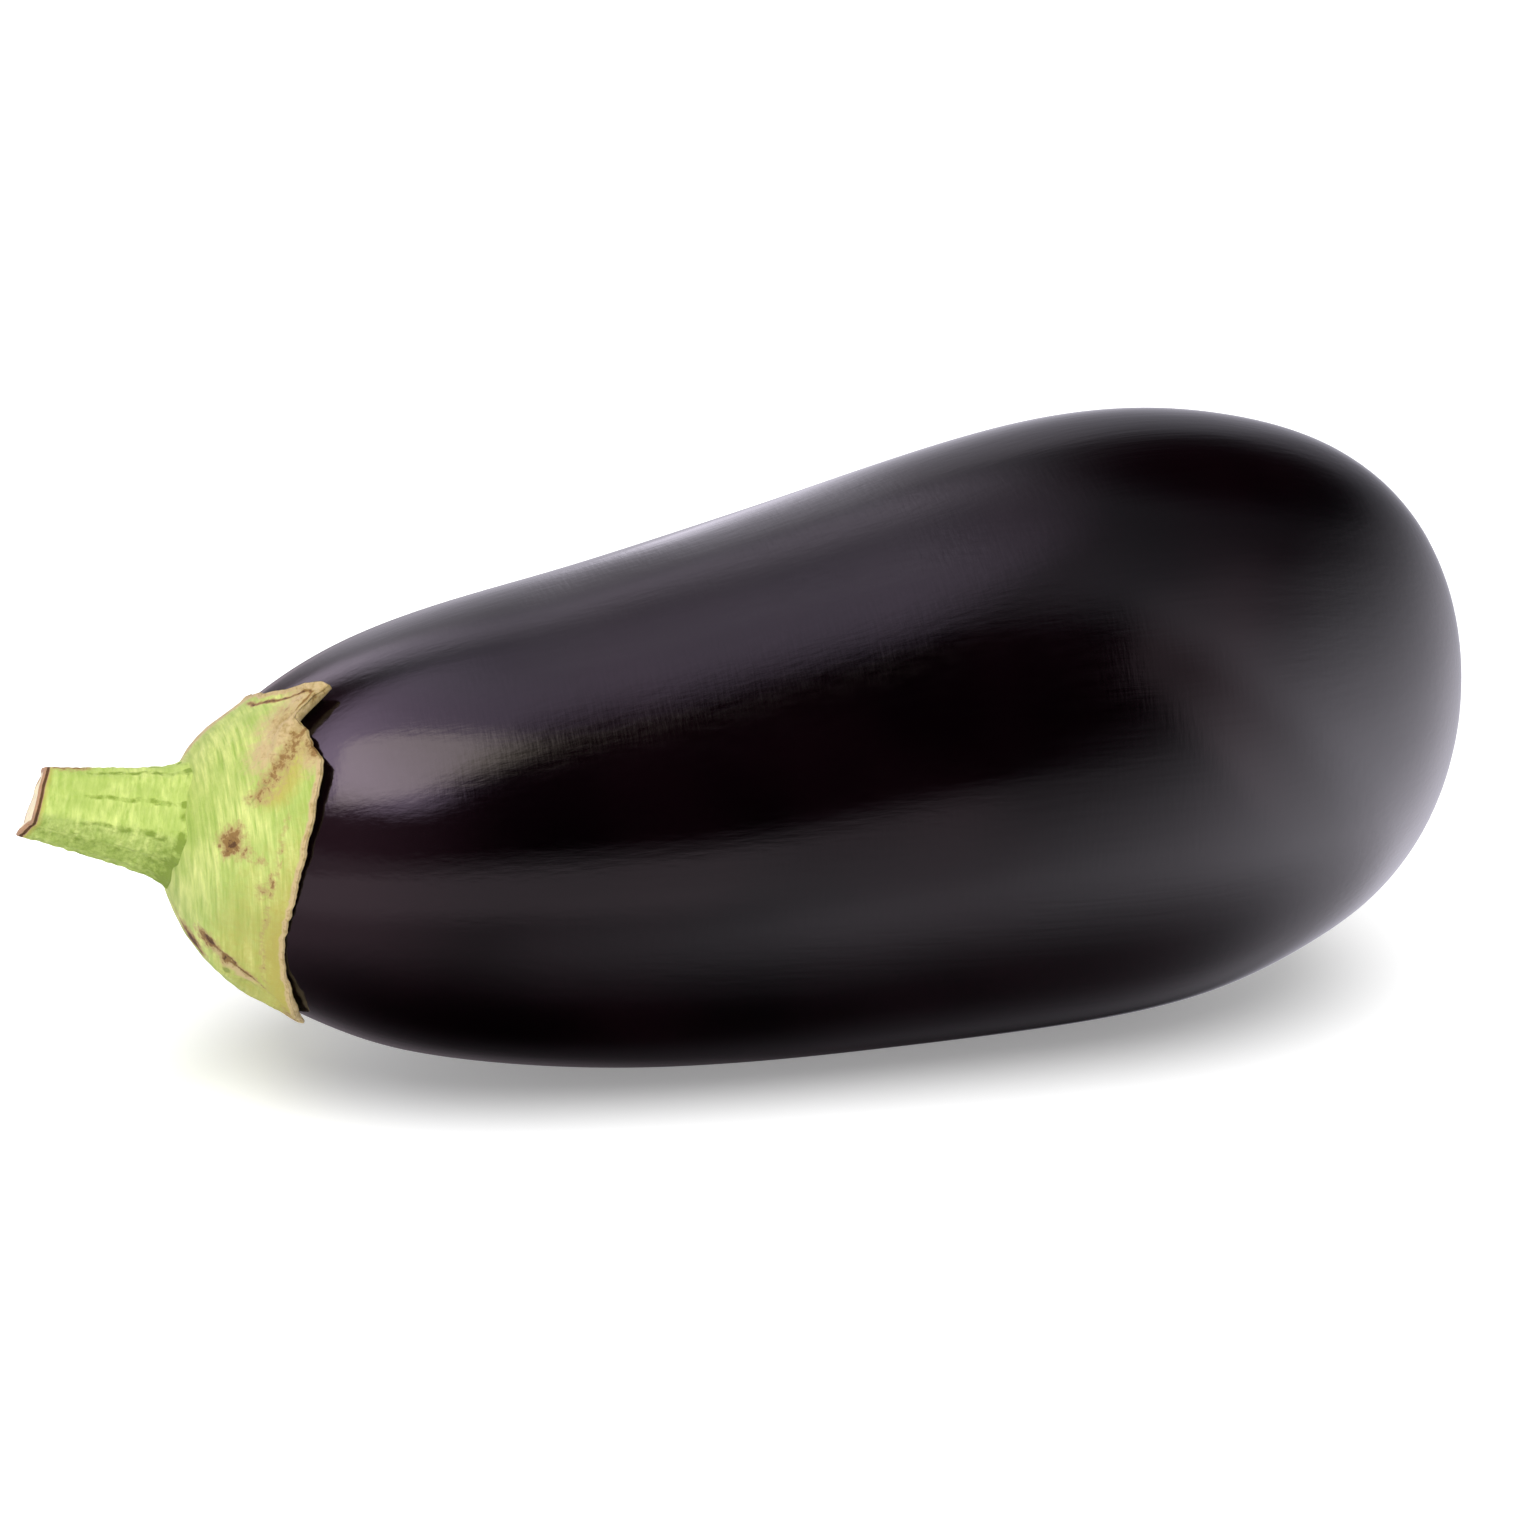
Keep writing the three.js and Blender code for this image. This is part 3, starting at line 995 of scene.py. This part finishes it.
@dataclass(frozen=True, eq=False)
class Stalk:
    """The cut stalk: tapered and ribbed, set on the cap's dome, with a dry brown rim round its cut."""

    form: BodyForm
    dome: BVHTree
    root: tuple[float, float] = (4.8 * MM, 47.2 * MM)
    tilt: float = math.radians(15)
    length: float = 26.5 * MM
    root_radius: float = 9.4 * MM
    cut_radius: float = 5.4 * MM
    flare: float = 1.2 * MM
    flare_length: float = 2 * MM
    ribs: int = 5
    rib_height: float = 0.45 * MM
    threads: int = 13
    thread_height: float = 0.16 * MM
    thread_twist: float = 40
    wrinkle: float = 0.22 * MM
    wrinkle_size: float = 1.1 * MM
    ragged: float = 0.5 * MM
    cut_slope: float = 0.1
    cut_turn: float = 0.15
    tongue: float = 1.3 * MM
    tongue_angle: float = math.radians(-72)
    tongue_width: float = 0.55
    hollow: float = 0.5 * MM
    rings: int = 90
    sides: int = 140
    sunk: float = 0.8 * MM

    def frame(self, angle: float) -> tuple[Vector, Vector, Vector]:
        """Find the stalk's own directions at an angle round it.

        Args:
            angle: Turn round the stalk in radians, from the camera's side over the top.

        Returns:
            The root's centre, the way out along the stalk and the way out from its middle.
        """
        root = Vector((self.root[0], 0, self.root[1])) + self.form.origin
        outward = Vector((-math.cos(self.tilt), 0, math.sin(self.tilt)))
        upward = Vector((math.sin(self.tilt), 0, math.cos(self.tilt)))
        return root, outward, upward * math.sin(angle) + Vector((0, -math.cos(angle), 0))

    @lru_cache(maxsize=None)
    def contact(self, angle: float) -> float:
        """Find where the stalk meets the cap's dome.

        Args:
            angle: Turn round the stalk in radians.

        Returns:
            The height along the stalk from its root.
        """
        root, outward, aside = self.frame(angle)
        start = root + outward * self.length + aside * (self.root_radius + self.flare / 2)
        hit = self.dome.ray_cast(start, -outward)[0]
        return self.length - (hit - start).length if hit else 0.0

    def radius(self, height: float, angle: float) -> float:
        """Find the stalk's radius with its taper, its flare and its ribs.

        Args:
            height: Height along the stalk from its root.
            angle: Turn round the stalk in radians.

        Returns:
            The radius.
        """
        taper = lerp(self.root_radius, self.cut_radius, min(max(height / self.length, 0.0), 1.0))
        flare = self.flare * math.exp(-max(height - self.contact(round(angle, 4)), 0) / self.flare_length)
        ribs = self.rib_height * math.cos(self.ribs * angle)
        ribs += self.thread_height * math.sin(self.threads * angle + self.thread_twist * height)
        return taper + flare + ribs

    def place(self, share: float, step: float, angle: float) -> Vector:
        """Place a point of the stalk.

        Args:
            share: Share of the radius.
            step: 0 at the dome and 1 at the cut.
            angle: Turn round the stalk in radians.

        Returns:
            The point in the model's frame.
        """
        root, outward, aside = self.frame(angle)
        low = self.contact(round(angle, 4)) - self.sunk
        height = lerp(low, self.length, step)
        spot = outward * height + aside * self.root_radius
        wrinkle = self.wrinkle * ripple(spot, self.wrinkle_size, Vector((1, 4, 4)))
        wrinkle *= 1 - smoothstep(step, 0.9, 1)
        radius = share * (self.radius(height, angle) + wrinkle)
        up, side = radius * math.sin(angle), radius * math.cos(angle)
        end = max(height / self.length, 0.0) ** 2
        ragged = self.ragged * noise.noise(Vector((math.cos(angle), math.sin(angle), 0.4)) * 1.6)
        dip = self.hollow * smoothstep(1 - share, 0.08, 0.5) if step == 1 else 0.0
        off = (angle - self.tongue_angle + math.pi) % math.tau - math.pi
        ragged += share * self.tongue * bell(off, self.tongue_width) * end ** 2
        reach = height - dip + end * (self.cut_turn * side - self.cut_slope * up + ragged)
        return root + outward * reach + aside * radius

    def marks(self) -> dict[Mark, Rule]:
        """Find where the stalk is grooved and darkened by painted shade, dry, corky and cut.

        Returns:
            The rule of each mark.
        """

        def groove_and_shade(share: float, step: float, angle: float) -> float:
            """Find the dotted lines between the ribs, and the painted shade on the underside and in the
            fold at the dome.

            Args:
                share: Not used; share of the radius.
                step: 0 at the dome and 1 at the cut.
                angle: Turn round the stalk in radians.

            Returns:
                The strength, from 0 to 1.
            """
            wander = 0.12 * noise.noise(Vector((step * 5, 3, 0)))
            valley = smoothstep(abs(math.cos(self.ribs * (angle + wander))), 0.86, 1.0)
            rib = math.floor(angle * self.ribs / math.tau)
            dots = 0.55 + 0.45 * smoothstep(noise.noise(Vector((step * 14, rib * 3.7, 0))), -0.3, 0.4)
            # Painted shade: the underside is darkened, and more so near the dome.
            underside_shade = 0.5 * smoothstep(-math.sin(angle - 0.3), -0.6, 0.9)
            underside_shade *= 1.35 - 0.35 * smoothstep(step, 0.08, 0.3)
            broken = smoothstep(noise.noise(Vector((angle * 6, 1, 0))), -0.3, 0.3)
            # Painted shade in the fold where the stalk meets the dome, broken into patches.
            crease_shade = bell(step - 0.055, 0.022) * broken
            outside = 1.0 if step < 1 else 0.0
            line = 0.75 * valley * dots * (1 - smoothstep(step, 0.6, 0.9))
            return outside * min(max(line, underside_shade) + 0.6 * crease_shade, 1.0)

        def rim(share: float, step: float, angle: float) -> float:
            """The yellowing bark behind the cut."""
            return smoothstep(step, 0.9, 0.97) if step < 1 else 0.0

        def dry(share: float, step: float, angle: float) -> float:
            """The pale cut face and the dry lip behind its rim."""
            return 0.9 * smoothstep(step, 0.955, 0.985) if step < 1 else 0.9

        def scar(share: float, step: float, angle: float) -> float:
            """The corky streak on the top near the cut."""
            off = (math.degrees(angle) - 90 + 180) % 360 - 180
            return 0.95 * bell(off, 12) * smoothstep(step, 0.62, 0.78) * (1 - smoothstep(step, 0.93, 0.97))

        def cut(share: float, step: float, angle: float) -> float:
            """Find the brown rim of the cut: rusty on its face and darkest along the bark.

            Args:
                share: Share of the radius.
                step: 0 at the dome and 1 at the cut.
                angle: Turn round the stalk in radians.

            Returns:
                The strength, from 0 to 1.
            """
            face = 0.56 * smoothstep(share, 0.8, 0.9)
            bark = smoothstep(step, 0.954, 0.966) * (1 - 0.45 * smoothstep(step, 0.979, 0.99))
            return bark if step < 1 else face

        def pith(share: float, step: float, angle: float) -> float:
            """The cream pith inside the cut."""
            return 1 - smoothstep(share, 0.8, 0.9) if step == 1 else 0.0

        return {
            Mark.GROOVE_AND_SHADE: groove_and_shade, Mark.RIM: rim, Mark.DRY: dry,
            Mark.SCAR: scar, Mark.CUT: cut, Mark.PITH: pith,
        }

    def build(self) -> bpy.types.Object:
        """Make the stalk.

        Returns:
            Its object.
        """
        # The third green is the dark green: the dotted rib lines, and painted shade under the stalk and at
        # its foot.
        finish = GreenSkin(
            "stalk_fibrous_green", "#d0db84", "#99b052", "#7d9335",
            streak_width=0.8 * MM, streak_length=3.0 * MM, tilt=self.tilt,
        )
        sunk_end = [(0.0, 0.0), (0.6, 0.0)]
        sides = [(1.0, i / self.rings) for i in range(self.rings)]
        face = [(share, 1.0) for share in (0.985, 0.93, 0.87, 0.8, 0.72, 0.6, 0.3, 0.0)]
        line = [*sunk_end, *sides, (1.0, 0.994), *face]
        shape = turned(line, self.sides, self.place, self.marks())
        stalk = new_piece("stalk_flesh", shape, finish.material())
        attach(stalk, "root")
        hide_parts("stalk")
        return stalk


@dataclass(frozen=True)
class Edge:
    """A soft edge of a panel of light: 0 below low and 1 above high, along a direction."""

    toward: tuple[float, float, float]
    low: float
    high: float


@dataclass(frozen=True)
class Panel:
    """A panel of light or a black flag far round the studio, bounded by its soft edges."""

    name: str
    radiance: float
    tint: str
    edges: tuple[Edge, ...]


@dataclass(frozen=True)
class Studio:
    """A pale floor, soft lights, a white surround and the camera at the photograph's angle."""

    target: Vector = Vector((3.1 * MM, 0, 44.6 * MM))
    distance: float = 650 * MM
    azimuth: float = -16
    elevation: float = 20
    pixels_per_mm: float = 6.13
    centre: tuple[float, float] = (772.1, 782.5)
    sensor: float = 36
    floor_size: float = 8.0
    panels: tuple[Panel, ...] = (
        Panel("right_floor", 3.9, "#f8f3ff", (Edge((0.897, -0.326, -0.4), 0.25, 1.46),)),
        Panel("right_wall", 0.45, "#ffe2f0", (
            Edge((1, 0, 0), 0.1, 0.18),
            Edge((0.914, 0, 0.406), 0.3, 0.4),
            Edge((-1, 0, 0), -0.7, -0.4),
            Edge((0, 0, -1), -0.97, -0.6),
            Edge((0, -1, 0), 0.0, 0.3),
        )),
        Panel("left_floor", 0.3, "#ffeefa", (
            Edge((-1, 0, 0), -0.4, 0.15),
            Edge((0.01, 0.287, -0.958), -0.43, -0.27),
        )),
        Panel("front_floor", 0.42, "#ffeaf6", (
            Edge((0, 0, -1), -0.02, 0.1),
            Edge((0, 0, 1), -0.55, -0.28),
            Edge((-1, 0, 0), -0.12, 0.06),
        )),
        Panel("left_wall", 0.36, "#ffbcda", (Edge((-1, 0, 0), 0.1, 0.78),)),
        Panel("back_wall", 1.6, "#f3f0ff", (
            Edge((-0.711, -0.181, -0.679), -1.29, 0.69),
            Edge((0.816, 0.307, 0.49), 0.22, 0.45),
        )),
        Panel("softbox", 8.6, "#f4dbff", (
            Edge((-0.091, -0.239, 0.967), 0.62, 0.85),
            Edge((-0.886, 0.444, 0.137), -0.02, 0.19),
            Edge((-0.991, -0.12, 0.06), -0.19, 1.45),
        )),
        Panel("lamp", 2.2, "#fff2d6", (
            Edge((-0.618, -0.424, 0.662), 0.85, 0.91),
            Edge((-0.449, -0.2, 0.871), 0.84, 0.93),
            Edge((0.897, -0.426, 0.116), -0.42, -0.39),
        )),
        Panel("back_strip", 3.7, "#f5efff", (
            Edge((-0.97, 0.014, -0.242), -0.21, -0.07),
            Edge((0.983, -0.067, 0.171), 0.075, 0.105),
            Edge((0.878, 0.232, 0.418), 0.36, 0.39),
        )),
        Panel("tall_strip", 3.9, "#f9e7ff", (
            Edge((-0.694, -0.609, 0.385), -0.37, -0.09),
            Edge((0.703, 0.7, -0.124), 0.11, 0.42),
            Edge((-1, 0, 0), -0.27, 0.64),
        )),
    )
    flags: tuple[Panel, ...] = (
        Panel("under_floor", 1.0, "#ffffff", (Edge((0, 0, -1), 0.56, 1.02),)),
        Panel("back_right", 1.0, "#ffffff", (Edge((0.474, 0.485, 0.735), 0.88, 1.0),)),
    )
    ambient: float = 0.55
    sun: float = 2.7
    sun_angle: float = 52
    sun_way: tuple[float, float, float] = (0.09, 0.5, -1)
    table_glow: float = 0.24

    def add_floor(self) -> None:
        """Lay the pale floor. The gloss mirrors the panels in its stead."""
        # Frosted acrylic lit softly from below gives the eye an even white that only shadows darken.
        shape = bmesh.new()
        bmesh.ops.create_grid(shape, x_segments=1, y_segments=1, size=self.floor_size / 2)
        material, tree = new_material("studio_floor_frosted_acrylic")
        place = add_node(tree, "TexCoord").outputs["Object"]
        mottle = add_node(tree, "TexNoise", inputs={"Vector": place, "Scale": 30.0})
        tone = add_node(tree, "Mix", {"data_type": "RGBA"}, {
            0: mottle.outputs["Fac"], 6: linear("#fbfbfb"), 7: linear("#ffffff")})
        shader = add_node(tree, "BsdfPrincipled", inputs={
            "Base Color": tone.outputs[2], "Roughness": 1.0, "Specular IOR Level": 0.0,
            "Emission Color": linear("#ffffff"), "Emission Strength": self.table_glow})
        add_node(tree, "OutputMaterial", inputs={"Surface": shader.outputs["BSDF"]})
        floor = new_piece("studio_floor", shape, material)
        floor.visible_glossy = False

    def add_lights(self) -> None:
        """Hang the broad soft light above the object."""
        sky = bpy.data.lights.new("soft_overhead", "SUN")
        sky.energy = self.sun
        sky.angle = math.radians(self.sun_angle)
        lamp = bpy.data.objects.new("soft_overhead", sky)
        lamp.rotation_mode = "QUATERNION"
        lamp.rotation_quaternion = Vector(self.sun_way).to_track_quat("-Z", "Y")
        lamp.visible_glossy = False
        bpy.context.scene.collection.objects.link(lamp)

    def light_of(
        self, tree: bpy.types.NodeTree, way: bpy.types.NodeSocket, panel: Panel,
    ) -> bpy.types.NodeSocket:
        """Radiance of a panel by direction.

        Args:
            tree: The world's node tree.
            way: The direction looked in.
            panel: The panel.

        Returns:
            The socket that carries it.
        """
        light = None
        for edge in panel.edges:
            toward = Vector(edge.toward).normalized()
            along = add_node(tree, "VectorMath", {"operation": "DOT_PRODUCT"}, {0: way, 1: toward})
            share = add_node(tree, "MapRange", {"interpolation_type": "SMOOTHSTEP"}, {
                "Value": along.outputs["Value"], "From Min": edge.low, "From Max": edge.high})
            share = add_node(tree, "Math", {"operation": "MULTIPLY"}, {
                0: share.outputs["Result"], 1: light or panel.radiance})
            light = share.outputs[0]
        return light

    def add_surround(self) -> None:
        """Make the white surround, and the panels and flags that the gloss mirrors."""
        world = bpy.data.worlds.new("studio")
        bpy.context.scene.world = world
        world.use_nodes = True
        tree = world.node_tree
        tree.nodes.clear()
        way = add_node(tree, "TexCoord").outputs["Generated"]
        total: bpy.types.NodeSocket | tuple[float, float, float] = (0.0, 0.0, 0.0)
        for panel in self.panels:
            light = add_node(tree, "VectorMath", {"operation": "SCALE"}, {
                0: linear(panel.tint)[:3], "Scale": self.light_of(tree, way, panel)})
            total = add_node(tree, "VectorMath", {"operation": "ADD"}, {
                0: total, 1: light.outputs["Vector"]}).outputs["Vector"]
        for flag in self.flags:
            left = add_node(tree, "Math", {"operation": "SUBTRACT"}, {
                0: 1.0, 1: self.light_of(tree, way, flag)})
            total = add_node(tree, "VectorMath", {"operation": "SCALE"}, {
                0: total, "Scale": left.outputs[0]}).outputs["Vector"]
        path = add_node(tree, "LightPath")
        plain = (self.ambient, self.ambient, self.ambient, 1.0)
        seen = add_node(tree, "Mix", {"data_type": "RGBA"}, {
            0: path.outputs["Is Camera Ray"], 6: plain, 7: linear("#ffffff")})
        seen = add_node(tree, "Mix", {"data_type": "RGBA"}, {
            0: path.outputs["Is Glossy Ray"], 6: seen.outputs[2], 7: total})
        back = add_node(tree, "Background", inputs={"Color": seen.outputs[2], "Strength": 1.0})
        add_node(tree, "OutputWorld", inputs={"Surface": back.outputs["Background"]})

    def add_camera(self) -> None:
        """Set the camera at the photograph's viewing angle and framing."""
        azimuth, elevation = math.radians(self.azimuth), math.radians(self.elevation)
        back = Vector((
            math.sin(azimuth) * math.cos(elevation),
            -math.cos(azimuth) * math.cos(elevation),
            math.sin(elevation),
        ))
        data = bpy.data.cameras.new("camera")
        data.sensor_width = self.sensor
        data.lens = self.sensor * self.distance / MM * self.pixels_per_mm / PHOTO_WIDTH
        data.shift_x = (PHOTO_WIDTH / 2 - self.centre[0]) / PHOTO_WIDTH
        data.shift_y = (self.centre[1] - PHOTO_WIDTH / 2) / PHOTO_WIDTH
        camera = bpy.data.objects.new("camera", data)
        camera.location = self.target + back * self.distance
        camera.rotation_mode = "QUATERNION"
        camera.rotation_quaternion = (-back).to_track_quat("-Z", "Y")
        bpy.context.scene.collection.objects.link(camera)
        bpy.context.scene.camera = camera

    def build(self) -> None:
        """Set up the whole studio."""
        bpy.context.scene.view_settings.view_transform = "Standard"
        self.add_floor()
        self.add_lights()
        self.add_surround()
        self.add_camera()


def main() -> None:
    """Build the eggplant and its studio, and report each piece."""
    logging.basicConfig(level=logging.INFO, format="%(name)s: %(message)s")
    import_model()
    form = BodyForm().settled(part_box("fruit"), flat_depth=0.5 * MM)
    fruit = Fruit(form).build()
    cap, dome = Calyx(form).build()
    stalk = Stalk(form, dome).build()
    for piece in (fruit, cap, stalk):
        log.info("%s: %d faces", piece.name, len(piece.data.polygons))
    Studio().build()


if __name__ == "__main__":
    main()
